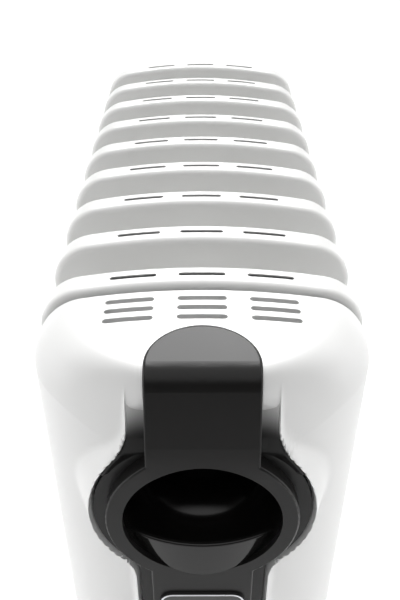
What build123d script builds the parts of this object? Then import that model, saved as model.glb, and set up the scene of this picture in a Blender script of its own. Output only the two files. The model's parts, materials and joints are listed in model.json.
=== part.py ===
"""Oil filled radiator heater: nine welded fins, a front control housing and two castor feet.

Units are millimetres. +Z is up, the controls face -Y, and the origin is on the floor under the middle
of the whole heater. Places along the depth are often given as a distance ahead of the front fin's
middle plane, which the function ahead() turns into a Y coordinate.
"""

from math import sqrt
import os

from build123d import *

# ---- fins
FIN_COUNT = 9
FIN_PITCH = 41.0
FIN_WIDTH = 160.0
FIN_DEPTH = 16.0
FIN_BOTTOM = 64.0
FIN_TOP = 640.0
CROWN_RADIUS = 350.0
CORNER_RADIUS = 24.0
FIN_EDGE_RADIUS = 3.5
SHEET = 0.7
DUCT_WIDTH = 30.0
WEB = 1.6
CHANNEL_DEPTH = 13.0
CHANNEL_WIDTH = 26.0
CHANNEL_PITCH = 29.0
CHANNEL_ROUND = 4.0

# ---- slots in the fins and in the cover's top
SLOT_LENGTH = 22.7
SLOT_PITCH = 33.2
FIN_SLOT_WIDTH = 2.6
COVER_SLOT_WIDTH = 3.4
COVER_SLOT_ROWS = (20.1, 27.2, 34.3)

# ---- oil headers that join the fins
HEADER_RADIUS = 17.0
HEADER_WALL = 1.8
TOP_HEADER_Z = 592.0
LOW_HEADER_Z = 112.0
PLUG_LENGTH = 4.5
PLUG_RADIUS = 17.5
MOUTH_FRONT = 12.0

# ---- front cover
COVER_REAR = 14.0
NOSE_START = 18.0
NOSE_DEPTH = 64.0
COVER_BOTTOM = 78.0
WALL = 2.4
COVER_ROUND = 16.0

# ---- black keyhole panel
PANEL_FRONT = 87.0
PANEL_WALL = 3.0
SKIRT = 6.0
SKIRT_DEPTH = 7.0
FLANGE_WALL = 3.0
FLANGE_REAR = PANEL_FRONT - SKIRT_DEPTH - FLANGE_WALL
EDGE_ROUND = 1.0
BOSS_GROW = 8.2
STRAP_HALF = 24.0
STRAP_TIP = 41.0
STRAP_BEND = 73.0
STRAP_PROUD = 0.3
BEND_REACH = 8.0
RING_Z = 565.0
RING_RADIUS = 43.0
OPENING_RADIUS = 35.5
SLOPE_FOOT_Z = 602.0
DIAL_Z = 395.0
DIAL_RING_RADIUS = 32.0
PANEL_END_Z = 130.0
NECK_ROUND = 7.0
PANEL_GAP = 0.2
CUP_REAR = 48.0
CUP_WALL = 2.0
CUP_ROUND = 18.0

SLOPE_RUN = (PANEL_FRONT - STRAP_BEND) / (FIN_TOP + STRAP_PROUD - SLOPE_FOOT_Z)

# ---- controls and small parts on the panel
KNOB_RADIUS = 20.0
KNOB_LENGTH = 14.0
SPINDLE_RADIUS = 3.0
RUNNING_GAP = 0.08
ROCKER_Z = (334.0, 298.0)
ROCKER_WIDTH = 20.0
ROCKER_HALF_HEIGHT = 12.6
POCKET_HEIGHT = 28.6
ROCKER_PIVOT = 80.0
ROCKER_TILT = 8.0
ROCKER_GAP = 0.3
LENS_Z = 360.0
LENS_RADIUS = 3.0
PLATE_Z = 506.5
PLATE_LENGTH = 41.0
PLATE_HEIGHT = 12.4
PLATE_THICKNESS = 1.3
PLATE_RIM = 1.3
LIP_BOW = 67.5
LIP_PROUD = 1.6
LIP_BELOW_CENTRE = 13.5
CORD_BORE = 3.9
WINDER_Z = 192.0
WINDER_REACH = 105.0
WINDER_FLANGE = 4.0
WINDER_POST_LENGTH = 62.0
WINDER_POST_WIDTH = 26.0
WINDER_LENGTH = 118.0
WINDER_WIDTH = 46.0

# ---- feet and castors
FOOT_WIDTH = 236.0
FOOT_DEPTH = 40.0
FOOT_LOW = 46.0
FOOT_HIGH = 63.8
FOOT_WALL = 3.0
CASTOR_X = 96.0
CASTOR_TRAIL = 14.0
WHEEL_RADIUS = 20.0
WHEEL_WIDTH = 16.0
AXLE_RADIUS = 3.0
STEM_RADIUS = 5.0
BOLT_RADIUS = 2.5
BOLT_X = 20.0

# ---- inside the housing
BULKHEAD_FACE = 15.0
BULKHEAD_SHEET = 1.2
BULKHEAD_LOW = 84.0
BULKHEAD_FRONT = BULKHEAD_FACE + BULKHEAD_SHEET
STUD_RADIUS = 3.0
ELEMENT_RADIUS = 3.2
ELEMENT_X = 5.6
ELEMENT_SPREAD = 4.6
ELEMENT_END = 34.0
FLANGE_FACE = 14.0
CUTOUT_Z = 500.0
TERMINAL_Z = 220.0
TERMINAL_DEPTH = 16.0
TAB_WIDTH = 6.3
TAB_SHEET = 0.8
TAB_LENGTH = 9.0
WIRE_RADIUS = 1.4
WIRE_START = 34.0

# ---- fixings: studs as (x, z), screws and the cord's gland as (x, y)
STUD_PLACES = [(x, z) for x in (-63, 63) for z in (150, 560)]

REAR_REACH = (FIN_COUNT - 1.5) * FIN_PITCH + CASTOR_TRAIL + WHEEL_RADIUS
FRONT_FIN_Y = (WINDER_REACH - REAR_REACH) / 2
SCREW_PLACES = [(x, FRONT_FIN_Y - 24) for x in (-50, 50)]
GLAND_PLACE = (0, FRONT_FIN_Y - 46)

os.makedirs("parts", exist_ok=True)


def ahead(distance):
    """Y of a point that far ahead of the front fin's middle plane."""
    return FRONT_FIN_Y - distance


def front_plane(distance, x=0.0, z=0.0):
    """Plane that faces the front, with local axes X and Z."""
    return Plane(origin=(x, ahead(distance), z), x_dir=(1, 0, 0), z_dir=(0, -1, 0))


def side_plane(x=0.0):
    """Plane that faces +X, with local axes Y and Z."""
    return Plane(origin=(x, 0, 0), x_dir=(0, 1, 0), z_dir=(1, 0, 0))


def write(part, label):
    part.label = label
    export_step(part, f"parts/{label}.step")


def fin_outline(plane, inset):
    """A fin's outline: crowned top, straight sides, flat bottom and round corners."""
    half = FIN_WIDTH / 2 - inset
    top = FIN_TOP - inset
    low = FIN_BOTTOM + inset
    shoulder = top - CROWN_RADIUS + sqrt(CROWN_RADIUS**2 - half**2)
    with BuildSketch(plane) as outline:
        with BuildLine():
            ThreePointArc((-half, shoulder), (0, top), (half, shoulder))
            Polyline((half, shoulder), (half, low), (-half, low), (-half, shoulder))
        make_face()
        fillet(outline.vertices(), max(CORNER_RADIUS - inset, 2.0))
    return outline.sketch


def channel_outline(plane, inset):
    """Three upright oil channels, joined by a header chamber at the top and at the bottom."""
    width = CHANNEL_WIDTH - 2 * inset
    height = TOP_HEADER_Z - LOW_HEADER_Z
    middle = (TOP_HEADER_Z + LOW_HEADER_Z) / 2
    chamber_width = 2 * CHANNEL_PITCH + width
    chamber_height = 44 - 2 * inset
    with BuildSketch(plane) as outline:
        with Locations(*[(n * CHANNEL_PITCH, middle) for n in (-1, 0, 1)]):
            SlotOverall(height + width, width, rotation=90)
        with Locations((0, TOP_HEADER_Z), (0, LOW_HEADER_Z)):
            RectangleRounded(chamber_width, chamber_height, 13 - inset)
    return outline.sketch


def duct_body():
    """The hollow rim of a fin: a closed air duct with three slots at the top and at the bottom."""
    plane = front_plane(0)
    rim_ring = fin_outline(plane, 0) - fin_outline(plane, DUCT_WIDTH)
    air_ring = fin_outline(plane, SHEET) - fin_outline(plane, DUCT_WIDTH - SHEET)
    with BuildPart() as air:
        extrude(air_ring, FIN_DEPTH / 2 - SHEET, both=True)
        fillet(air.faces().filter_by(Axis.Y).edges(), FIN_EDGE_RADIUS - SHEET)
    with BuildPart() as rim:
        extrude(rim_ring, FIN_DEPTH / 2, both=True)
        fillet(rim.faces().filter_by(Axis.Y).edges(), FIN_EDGE_RADIUS)
        add(air.part, mode=Mode.SUBTRACT)
        for level, depth in ((FIN_TOP + 1, -12), (FIN_BOTTOM - 1, 8)):
            with BuildSketch(Plane(origin=(0, ahead(0), level))):
                with Locations(*[(x * SLOT_PITCH, 0) for x in (-1, 0, 1)]):
                    SlotOverall(SLOT_LENGTH, FIN_SLOT_WIDTH)
            extrude(amount=depth, mode=Mode.SUBTRACT)
    return rim.part


def fin_body():
    """One fin before its header openings: rim duct, web and the three oil channels."""
    plane = front_plane(0)
    duct = duct_body()
    web_outline = fin_outline(plane, DUCT_WIDTH - SHEET / 2)
    panel_outline = channel_outline(plane, 0)
    oil_outline = channel_outline(plane, SHEET)
    with BuildPart() as oil:
        extrude(oil_outline, CHANNEL_DEPTH / 2 - SHEET, both=True)
        fillet(oil.faces().filter_by(Axis.Y).edges(), CHANNEL_ROUND - SHEET)
    with BuildPart() as fin:
        extrude(panel_outline, CHANNEL_DEPTH / 2, both=True)
        fillet(fin.faces().filter_by(Axis.Y).edges(), CHANNEL_ROUND)
        extrude(web_outline, WEB / 2, both=True)
        add(duct)
        add(oil.part, mode=Mode.SUBTRACT)
    return fin.part


def make_fins():
    """The fins are numbered from the front. A header opens each face that has a neighbour."""
    body = fin_body()
    last = FIN_COUNT - 1
    for index in range(FIN_COUNT):
        with BuildPart() as fin:
            add(body)
            for z in (TOP_HEADER_Z, LOW_HEADER_Z):
                front_end = 0.0 if index == 0 and z == TOP_HEADER_Z else FIN_DEPTH
                rear_end = 0.0 if index == last else -FIN_DEPTH
                with BuildSketch(front_plane(rear_end, z=z)):
                    Circle(HEADER_RADIUS - HEADER_WALL)
                extrude(amount=front_end - rear_end, mode=Mode.SUBTRACT)
        write(fin.part.moved(Location((0, index * FIN_PITCH, 0))), f"fin_{index + 1}")


def make_header_collars():
    """Rings that join the oil spaces of neighbouring fins, and the mouth for the heating elements."""
    half = CHANNEL_DEPTH / 2
    between = [(-n * FIN_PITCH + half, -(n - 1) * FIN_PITCH - half) for n in range(1, FIN_COUNT)]
    for z, label, spans in (
        (TOP_HEADER_Z, "top_header_collars", between),
        (LOW_HEADER_Z, "low_header_collars", between + [(half, MOUTH_FRONT)]),
    ):
        with BuildPart() as collars:
            for rear_end, front_end in spans:
                with BuildSketch(front_plane(rear_end, z=z)):
                    Circle(HEADER_RADIUS)
                    Circle(HEADER_RADIUS - HEADER_WALL, mode=Mode.SUBTRACT)
                extrude(amount=front_end - rear_end)
        write(collars.part, label)


def make_header_plugs():
    """Welded caps: two on the last fin's rear face and one on the first fin's front face."""
    half = CHANNEL_DEPTH / 2
    rear = -(FIN_COUNT - 1) * FIN_PITCH - half
    with BuildPart() as plugs:
        for z, face, way in ((TOP_HEADER_Z, rear, -1), (LOW_HEADER_Z, rear, -1), (TOP_HEADER_Z, half, 1)):
            with BuildSketch(front_plane(face, z=z)):
                Circle(PLUG_RADIUS)
            extrude(amount=way * PLUG_LENGTH)
        ends = (ahead(rear - PLUG_LENGTH), ahead(half + PLUG_LENGTH))
        fillet([edge for edge in plugs.edges() if min(abs(edge.center().Y - y) for y in ends) < 0.01], 1.4)
    write(plugs.part, "header_plugs")


# ---------------------------------------------------------------- front cover
def cover_block(inset):
    """The cover's filled shape, or with an inset the hollow inside it."""
    rear = COVER_REAR - (1 if inset else 0)
    half = FIN_WIDTH / 2 - inset
    top = FIN_TOP - inset
    shoulder = top - CROWN_RADIUS + sqrt(CROWN_RADIUS**2 - half**2)
    with BuildPart() as block:
        with BuildSketch(Plane.XY.offset(COVER_BOTTOM + inset)):
            with Locations((0, ahead(NOSE_START))):
                Ellipse(half, NOSE_DEPTH - inset)
            with Locations((0, ahead(NOSE_START) + NOSE_DEPTH / 2)):
                Rectangle(2 * half, NOSE_DEPTH, mode=Mode.SUBTRACT)
            with Locations((0, ahead((NOSE_START + rear) / 2))):
                Rectangle(2 * half, NOSE_START - rear)
        extrude(amount=FIN_TOP - COVER_BOTTOM)
        with BuildSketch(front_plane(0)):
            with BuildLine():
                ThreePointArc((-half - 1, shoulder - 0.24), (0, top), (half + 1, shoulder - 0.24))
                Polyline(
                    (half + 1, shoulder - 0.24),
                    (half + 1, 0),
                    (-half - 1, 0),
                    (-half - 1, shoulder - 0.24),
                )
            make_face()
        extrude(amount=2 * NOSE_DEPTH, mode=Mode.INTERSECT)
        rim = block.faces().sort_by(Axis.Z)[-1].edges()
        fillet(rim.sort_by(Axis.Y)[:-1], COVER_ROUND - inset)
    return block.part


def keyhole(plane, grow):
    """The black panel's outline from the front: a strap with two round swellings."""
    high = FIN_TOP + 30
    with BuildSketch(plane) as outline:
        with Locations((0, (high + PANEL_END_Z) / 2)):
            Rectangle(2 * STRAP_HALF, high - PANEL_END_Z)
        with Locations((0, PANEL_END_Z)):
            Circle(STRAP_HALF)
        with Locations((0, RING_Z)):
            Circle(RING_RADIUS)
        with Locations((0, DIAL_Z)):
            Circle(DIAL_RING_RADIUS)
        corners = [v for v in outline.vertices() if abs(abs(v.X) - STRAP_HALF) < 0.01]
        fillet([v for v in corners if PANEL_END_Z + 50 < v.Z < FIN_TOP], NECK_ROUND)
        if grow:
            offset(amount=grow, kind=Kind.INTERSECTION)
    return outline.sketch


def flare(front, grow, rear, rear_grow):
    """A block that widens from one keyhole outline at the front to a larger one at the rear."""
    outlines = [keyhole(front_plane(front), grow), keyhole(front_plane(rear), rear_grow)]
    return loft([outline.face() for outline in outlines], ruled=True)


def strap_plan(grow):
    """From above, the strap ends in a half circle behind its bend."""
    middle = ahead(STRAP_TIP + STRAP_HALF)
    with BuildSketch(Plane.XY) as plan:
        with Locations((0, middle)):
            Circle(STRAP_HALF + grow)
        with Locations((0, middle - 40)):
            Rectangle(120, 80)
    return extrude(plan.sketch, 700)


def skirt_limit(grow):
    """From the front, the flare dies away on the strap's slope."""
    half = STRAP_HALF + grow
    wide = RING_RADIUS + 20
    low = SLOPE_FOOT_Z - 2
    with BuildSketch(front_plane(110)) as outline:
        with BuildLine():
            Polyline(
                (wide, low),
                (half + SKIRT, low),
                (half, low + 22),
                (half, FIN_TOP + 20),
                (-half, FIN_TOP + 20),
                (-half, low + 22),
                (-half - SKIRT, low),
                (-wide, low),
                (-wide, 80),
                (wide, 80),
                (wide, low),
            )
        make_face()
    return extrude(outline.sketch, -90)


def behind_strap(depth):
    """Everything behind a surface that follows the strap, that deep below its face."""
    top = FIN_TOP + STRAP_PROUD - depth
    front = PANEL_FRONT - depth
    bend = STRAP_BEND - 0.7 * depth
    foot = SLOPE_FOOT_Z - 0.2 * depth
    slope = Vector(ahead(front) - ahead(bend), foot - top).normalized()
    upper = Vector(ahead(bend), top)
    lower = Vector(ahead(front), foot)
    with BuildSketch(side_plane()) as profile:
        with BuildLine():
            Line((ahead(0), top), upper + Vector(BEND_REACH, 0))
            Bezier(upper + Vector(BEND_REACH, 0), upper, upper + slope * BEND_REACH)
            Line(upper + slope * BEND_REACH, lower - slope * BEND_REACH)
            Bezier(lower - slope * BEND_REACH, lower, lower - Vector(0, BEND_REACH))
            Polyline(
                lower - Vector(0, BEND_REACH),
                (ahead(front), 90),
                (ahead(0), 90),
                (ahead(0), top),
            )
        make_face()
    return extrude(profile.sketch, 70, both=True)


def on_strap(point):
    """Whether a point lies on the strap's outer face, above its foot and ahead of its tip."""
    distance = FRONT_FIN_Y - point.Y
    top = FIN_TOP + STRAP_PROUD
    if distance < STRAP_BEND - BEND_REACH:
        return abs(point.Z - top) < 0.05
    if point.Z < SLOPE_FOOT_Z - BEND_REACH:
        return abs(distance - PANEL_FRONT) < 0.05
    return distance - STRAP_BEND > (top - point.Z) * SLOPE_RUN - 3


def make_cover():
    """The white housing: a nosed shell with a raised rim round the black panel."""
    boss = flare(PANEL_FRONT - SKIRT_DEPTH, BOSS_GROW, 58, BOSS_GROW + 8) & behind_strap(SKIRT_DEPTH)
    opening = flare(PANEL_FRONT, SKIRT + PANEL_GAP - 2, 57, SKIRT + PANEL_GAP + 7.5)
    straight = extrude(keyhole(front_plane(40), PANEL_GAP), 60)
    hole = ((opening & skirt_limit(PANEL_GAP)) + straight) & strap_plan(PANEL_GAP)
    outside = cover_block(0)
    inside = cover_block(WALL)
    with BuildPart() as cover:
        add(outside)
        add(boss)
        add(inside, mode=Mode.SUBTRACT)
        add(hole, mode=Mode.SUBTRACT)
        with BuildSketch(Plane(origin=(0, FRONT_FIN_Y, FIN_TOP + 1))):
            with Locations(*[(x * SLOT_PITCH, -row) for x in (-1, 0, 1) for row in COVER_SLOT_ROWS]):
                SlotOverall(SLOT_LENGTH, COVER_SLOT_WIDTH)
        extrude(amount=-14, mode=Mode.SUBTRACT)
        with BuildSketch(Plane(origin=(0, 0, COVER_BOTTOM - 1))):
            with Locations(*SCREW_PLACES):
                Circle(2.2)
            with Locations(GLAND_PLACE):
                Circle(7.6)
        extrude(amount=WALL + 2, mode=Mode.SUBTRACT)
    write(cover.part, "front_cover")


# ---------------------------------------------------------------- black panel
def make_panel():
    """A shell with a flange round its foot, and openings for the hand and the controls."""
    flange = extrude(keyhole(front_plane(FLANGE_REAR), SKIRT), FLANGE_WALL) & skirt_limit(0)
    strap = extrude(keyhole(front_plane(40), 0), 60) & strap_plan(0)
    faced = strap & behind_strap(0)
    with BuildPart() as face:
        add(faced)
        front = face.edges().filter_by(lambda edge: on_strap(edge.center()))
        fillet(front, EDGE_ROUND)
    hollow = extrude(keyhole(front_plane(30), -PANEL_WALL), 60) & strap_plan(-PANEL_WALL)
    hollow = hollow & behind_strap(PANEL_WALL)
    block = (face.part - behind_strap(PANEL_FRONT - FLANGE_REAR)) + (flange & behind_strap(SKIRT_DEPTH))
    with BuildPart() as panel:
        add(block)
        add(hollow, mode=Mode.SUBTRACT)
        with BuildSketch(front_plane(PANEL_FRONT + 1)):
            with Locations((0, RING_Z)):
                Circle(OPENING_RADIUS)
            with Locations((0, DIAL_Z)):
                Circle(SPINDLE_RADIUS + 2)
            with Locations((0, LENS_Z)):
                Circle(LENS_RADIUS + 0.1)
            with Locations(*[(0, z) for z in ROCKER_Z]):
                Rectangle(ROCKER_WIDTH + 2 * ROCKER_GAP, POCKET_HEIGHT)
        extrude(amount=-30, mode=Mode.SUBTRACT)
        with BuildSketch(front_plane(PANEL_FRONT + 1, z=DIAL_Z)):
            Circle(KNOB_RADIUS + 4)
        extrude(amount=-2.2, mode=Mode.SUBTRACT)
    write(panel.part, "trim_panel")


def make_grip_cup():
    """A deep round cup behind the panel's ring, where the hand goes in."""
    front = PANEL_FRONT - PANEL_WALL - 0.1
    with BuildPart() as bowl:
        with BuildSketch(front_plane(CUP_REAR)):
            with Locations((0, RING_Z)):
                Circle(OPENING_RADIUS)
        extrude(amount=front + 1 - CUP_REAR)
        fillet(bowl.edges().group_by(Axis.Y)[-1], CUP_ROUND)
    with BuildPart() as cup:
        with BuildSketch(front_plane(CUP_REAR - CUP_WALL)):
            with Locations((0, RING_Z)):
                Circle(OPENING_RADIUS + CUP_WALL)
        extrude(amount=front - CUP_REAR + CUP_WALL)
        fillet(cup.edges().group_by(Axis.Y)[-1], CUP_ROUND + CUP_WALL)
    write((cup.part - bowl.part) & behind_strap(PANEL_WALL + 0.1), "grip_cup")


def make_grip_lip():
    """A curved wall across the lower third of the opening, bowed towards the front."""
    crest = PANEL_FRONT + LIP_PROUD
    with BuildPart() as lip:
        with BuildSketch(Plane.XY.offset(RING_Z - OPENING_RADIUS)):
            with Locations((0, ahead(crest - LIP_BOW))):
                Circle(LIP_BOW)
                Circle(LIP_BOW - PANEL_WALL, mode=Mode.SUBTRACT)
        extrude(amount=OPENING_RADIUS - LIP_BELOW_CENTRE)
        fillet(lip.edges().group_by(Axis.Z)[-1], 1.2)
        with BuildSketch(front_plane(60)):
            with Locations((0, RING_Z)):
                Circle(OPENING_RADIUS - 0.3)
        extrude(amount=40, mode=Mode.INTERSECT)
    write(lip.part, "grip_lip")


def make_name_plate():
    """A blank pill-shaped badge with a raised rim."""
    with BuildPart() as plate:
        with BuildSketch(front_plane(PANEL_FRONT)):
            with Locations((0, PLATE_Z)):
                SlotOverall(PLATE_LENGTH, PLATE_HEIGHT)
        extrude(amount=PLATE_THICKNESS)
        with BuildSketch(front_plane(PANEL_FRONT + PLATE_THICKNESS)):
            with Locations((0, PLATE_Z)):
                SlotOverall(PLATE_LENGTH - 2 * PLATE_RIM, PLATE_HEIGHT - 2 * PLATE_RIM)
        extrude(amount=-0.6, mode=Mode.SUBTRACT)
    write(plate.part, "name_plate")


# ---------------------------------------------------------------- controls
def make_thermostat():
    """A two-step knob with a finger bar, its spindle, and the closed body behind the panel."""
    recess_floor = PANEL_FRONT - 1.2
    with BuildPart() as knob:
        with BuildSketch(front_plane(recess_floor + 0.6, z=DIAL_Z)):
            Circle(KNOB_RADIUS)
        extrude(amount=4)
        with BuildSketch(front_plane(recess_floor + 4.6, z=DIAL_Z)):
            Circle(KNOB_RADIUS - 2.5)
        extrude(amount=4)
        with BuildSketch(front_plane(recess_floor + 8.6, z=DIAL_Z)):
            SlotOverall(2 * KNOB_RADIUS - 6, 9, rotation=90)
        extrude(amount=KNOB_LENGTH - 8)
        tips = knob.edges().group_by(Axis.Y)[0]
        fillet(tips, 1.2)
        with BuildSketch(front_plane(recess_floor + 0.6, z=DIAL_Z)):
            Circle(SPINDLE_RADIUS + 0.05)
        extrude(amount=9, mode=Mode.SUBTRACT)
    write(knob.part, "thermostat_knob")

    with BuildPart() as spindle:
        with BuildSketch(front_plane(70, z=DIAL_Z)):
            Circle(SPINDLE_RADIUS)
        extrude(amount=recess_floor + 9 - 70)
        chamfer(spindle.edges().group_by(Axis.Y)[0], 0.6)
    write(spindle.part, "thermostat_spindle")

    with BuildPart() as body:
        with BuildSketch(front_plane(56, z=DIAL_Z)):
            RectangleRounded(34, 40, 3)
        extrude(amount=24)
        with BuildSketch(front_plane(80, z=DIAL_Z)):
            Circle(6.5)
        extrude(amount=3.8)
        with BuildSketch(front_plane(84, z=DIAL_Z)):
            Circle(SPINDLE_RADIUS + RUNNING_GAP)
        extrude(amount=-14.2, mode=Mode.SUBTRACT)
        with BuildSketch(front_plane(56, z=DIAL_Z)):
            with Locations((-9, 12), (9, 12)):
                Rectangle(TAB_SHEET, TAB_WIDTH)
        extrude(amount=-TAB_LENGTH)
    write(body.part, "thermostat_body")


def rocker_block(z):
    """A rocker with a dished face, drawn level and then tipped to its off position."""
    face = PANEL_FRONT + 3.0
    high = z + ROCKER_HALF_HEIGHT
    low = z - ROCKER_HALF_HEIGHT
    with BuildPart() as rocker:
        with BuildSketch(side_plane()):
            with BuildLine():
                ThreePointArc((ahead(face), high), (ahead(face - 2.2), z), (ahead(face), low))
                Line((ahead(face), low), (ahead(81), low))
                Line((ahead(81), low), (ahead(73), z - 5))
                Line((ahead(73), z - 5), (ahead(73), z + 5))
                Line((ahead(73), z + 5), (ahead(81), high))
                Line((ahead(81), high), (ahead(face), high))
            make_face()
        extrude(amount=ROCKER_WIDTH / 2, both=True)
        fillet(rocker.edges().filter_by(Axis.X).group_by(Axis.Y)[0], 0.8)
        with BuildSketch(side_plane()):
            with Locations((ahead(ROCKER_PIVOT), z)):
                Circle(1.5)
        extrude(amount=ROCKER_WIDTH / 2 + 1.6, both=True)
    return rocker.part.rotate(Axis((0, ahead(ROCKER_PIVOT), z), (1, 0, 0)), ROCKER_TILT)


def make_switches():
    """Two tipped rockers in one body, and the indicator lens above them."""
    for z, name in zip(ROCKER_Z, ("rocker_upper", "rocker_lower")):
        write(rocker_block(z), name)
    middle = sum(ROCKER_Z) / 2
    with BuildPart() as body:
        with BuildSketch(front_plane(62, z=middle)):
            RectangleRounded(ROCKER_WIDTH + 8, 74, 2)
        extrude(amount=PANEL_FRONT - PANEL_WALL - 0.1 - 62)
        with BuildSketch(front_plane(PANEL_FRONT)):
            with Locations(*[(0, z) for z in ROCKER_Z]):
                Rectangle(ROCKER_WIDTH + 2 * ROCKER_GAP, POCKET_HEIGHT)
        extrude(amount=-17, mode=Mode.SUBTRACT)
        with BuildSketch(side_plane()):
            with Locations(*[(ahead(ROCKER_PIVOT), z) for z in ROCKER_Z]):
                Circle(1.5 + RUNNING_GAP)
        extrude(amount=ROCKER_WIDTH / 2 + 2.4, both=True, mode=Mode.SUBTRACT)
        with BuildSketch(front_plane(62, z=middle)):
            with Locations(*[(x, dz) for x in (-7, 7) for dz in (-24, -12, 12, 24)]):
                Rectangle(TAB_SHEET, TAB_WIDTH)
        extrude(amount=-TAB_LENGTH)
    write(body.part, "switch_body")

    with BuildPart() as lens:
        with BuildSketch(front_plane(80, z=LENS_Z)):
            Circle(LENS_RADIUS)
        extrude(amount=PANEL_FRONT + 1.2 - 80)
        fillet(lens.edges().group_by(Axis.Y)[0], 1.0)
    write(lens.part, "indicator_lens")


def make_winder():
    """Cord storage: a post on the panel with a flange in front of it."""
    with BuildPart() as post:
        with BuildSketch(front_plane(PANEL_FRONT, z=WINDER_Z)):
            SlotOverall(WINDER_POST_LENGTH, WINDER_POST_WIDTH, rotation=90)
        extrude(amount=WINDER_REACH - WINDER_FLANGE - PANEL_FRONT)
    write(post.part, "winder_post")
    with BuildPart() as flange:
        with BuildSketch(front_plane(WINDER_REACH - WINDER_FLANGE, z=WINDER_Z)):
            SlotOverall(WINDER_LENGTH, WINDER_WIDTH, rotation=90)
        extrude(amount=WINDER_FLANGE)
        fillet(flange.edges().group_by(Axis.Y)[0], 1.8)
    write(flange.part, "winder_flange")


# ---------------------------------------------------------------- inside the housing
def make_bulkhead():
    """Steel plate that carries the housing, with a flange forward along its foot."""
    with BuildPart() as plate:
        with BuildSketch(front_plane(BULKHEAD_FACE)):
            add(fin_outline(Plane.XY, WALL + 3.0))
            Rectangle(2 * FIN_WIDTH, 2 * BULKHEAD_LOW, mode=Mode.SUBTRACT)
            with Locations((0, LOW_HEADER_Z)):
                Circle(26, mode=Mode.SUBTRACT)
            with Locations(*STUD_PLACES):
                Circle(STUD_RADIUS + 0.3, mode=Mode.SUBTRACT)
            with Locations(*[(x, z) for x in (-30, 0, 30) for z in (200, 300, 400)]):
                SlotOverall(22, 4, mode=Mode.SUBTRACT)
        extrude(amount=BULKHEAD_SHEET)
        with BuildSketch(front_plane(BULKHEAD_FACE)):
            with Locations((0, BULKHEAD_LOW - 1.4)):
                Rectangle(130, 3)
        extrude(amount=BULKHEAD_SHEET)
        with BuildSketch(Plane.XY.offset(BULKHEAD_LOW - 2.9)):
            with Locations((0, ahead(23))):
                Rectangle(130, 16)
            with Locations(*SCREW_PLACES):
                Circle(2.2, mode=Mode.SUBTRACT)
        extrude(amount=BULKHEAD_SHEET)
    write(plate.part, "bulkhead")


def make_studs():
    """Studs on the front fin carry the bulkhead, between a spacer and a nut on each."""
    with BuildPart() as studs:
        with BuildSketch(front_plane(FIN_DEPTH / 2)):
            with Locations(*STUD_PLACES):
                Circle(STUD_RADIUS)
        extrude(amount=16)
    write(studs.part, "mounting_studs")
    with BuildPart() as spacers:
        with BuildSketch(front_plane(FIN_DEPTH / 2)):
            with Locations(*STUD_PLACES):
                Circle(2 * STUD_RADIUS)
                Circle(STUD_RADIUS + 0.1, mode=Mode.SUBTRACT)
        extrude(amount=BULKHEAD_FACE - FIN_DEPTH / 2)
    write(spacers.part, "stud_spacers")
    with BuildPart() as nuts:
        with BuildSketch(front_plane(BULKHEAD_FRONT)):
            with Locations(*STUD_PLACES):
                RegularPolygon(5.8, 6)
                Circle(STUD_RADIUS + 0.1, mode=Mode.SUBTRACT)
        extrude(amount=5)
    write(nuts.part, "stud_nuts")


def make_elements():
    """Two hairpin elements in the bottom header, on one flange with a gasket behind it."""
    reach = (FIN_COUNT - 1) * FIN_PITCH - 6
    high = LOW_HEADER_Z + ELEMENT_SPREAD
    low = LOW_HEADER_Z - ELEMENT_SPREAD
    for x, name in ((-ELEMENT_X, "heating_element_left"), (ELEMENT_X, "heating_element_right")):
        with BuildPart() as element:
            with BuildLine():
                Line((x, ahead(ELEMENT_END), high), (x, ahead(-reach), high))
                ThreePointArc(
                    (x, ahead(-reach), high),
                    (x, ahead(-reach - ELEMENT_SPREAD), LOW_HEADER_Z),
                    (x, ahead(-reach), low),
                )
                Line((x, ahead(-reach), low), (x, ahead(ELEMENT_END), low))
            with BuildSketch(front_plane(ELEMENT_END)):
                with Locations((x, high)):
                    Circle(ELEMENT_RADIUS)
            sweep()
        write(element.part, name)
    with BuildPart() as flange:
        with BuildSketch(front_plane(FLANGE_FACE, z=LOW_HEADER_Z)):
            Circle(HEADER_RADIUS + 6)
        extrude(amount=4)
        with BuildSketch(front_plane(FLANGE_FACE, z=LOW_HEADER_Z)):
            with Locations(*[(x * ELEMENT_X, z * ELEMENT_SPREAD) for x in (-1, 1) for z in (-1, 1)]):
                Circle(ELEMENT_RADIUS + 0.05)
        extrude(amount=4, mode=Mode.SUBTRACT)
    write(flange.part, "element_flange")
    with BuildPart() as gasket:
        with BuildSketch(front_plane(MOUTH_FRONT, z=LOW_HEADER_Z)):
            Circle(HEADER_RADIUS + 4)
            Circle(HEADER_RADIUS - HEADER_WALL, mode=Mode.SUBTRACT)
        extrude(amount=FLANGE_FACE - MOUTH_FRONT)
    write(gasket.part, "element_gasket")


def make_cutout():
    """A round thermal cut-out on the bulkhead, with two tabs."""
    step = BULKHEAD_FRONT + 6
    with BuildPart() as cutout:
        with BuildSketch(front_plane(BULKHEAD_FRONT, z=CUTOUT_Z)):
            Circle(10)
        extrude(amount=step - BULKHEAD_FRONT)
        with BuildSketch(front_plane(step, z=CUTOUT_Z)):
            Circle(7.5)
        extrude(amount=9)
        with BuildSketch(front_plane(step + 9, z=CUTOUT_Z)):
            with Locations((-4, 0), (4, 0)):
                Rectangle(TAB_SHEET, TAB_WIDTH)
        extrude(amount=8)
    write(cutout.part, "thermal_cutout")


def make_terminals():
    """A terminal block with a row of five screw holes."""
    with BuildPart() as block:
        with BuildSketch(front_plane(BULKHEAD_FRONT, z=TERMINAL_Z)):
            RectangleRounded(60, 18, 2)
        extrude(amount=TERMINAL_DEPTH)
        with BuildSketch(front_plane(BULKHEAD_FRONT + TERMINAL_DEPTH, z=TERMINAL_Z)):
            with Locations(*[(x, 0) for x in (-22, -11, 0, 11, 22)]):
                Circle(3.2)
        extrude(amount=-6, mode=Mode.SUBTRACT)
    write(block.part, "terminal_block")


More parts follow.
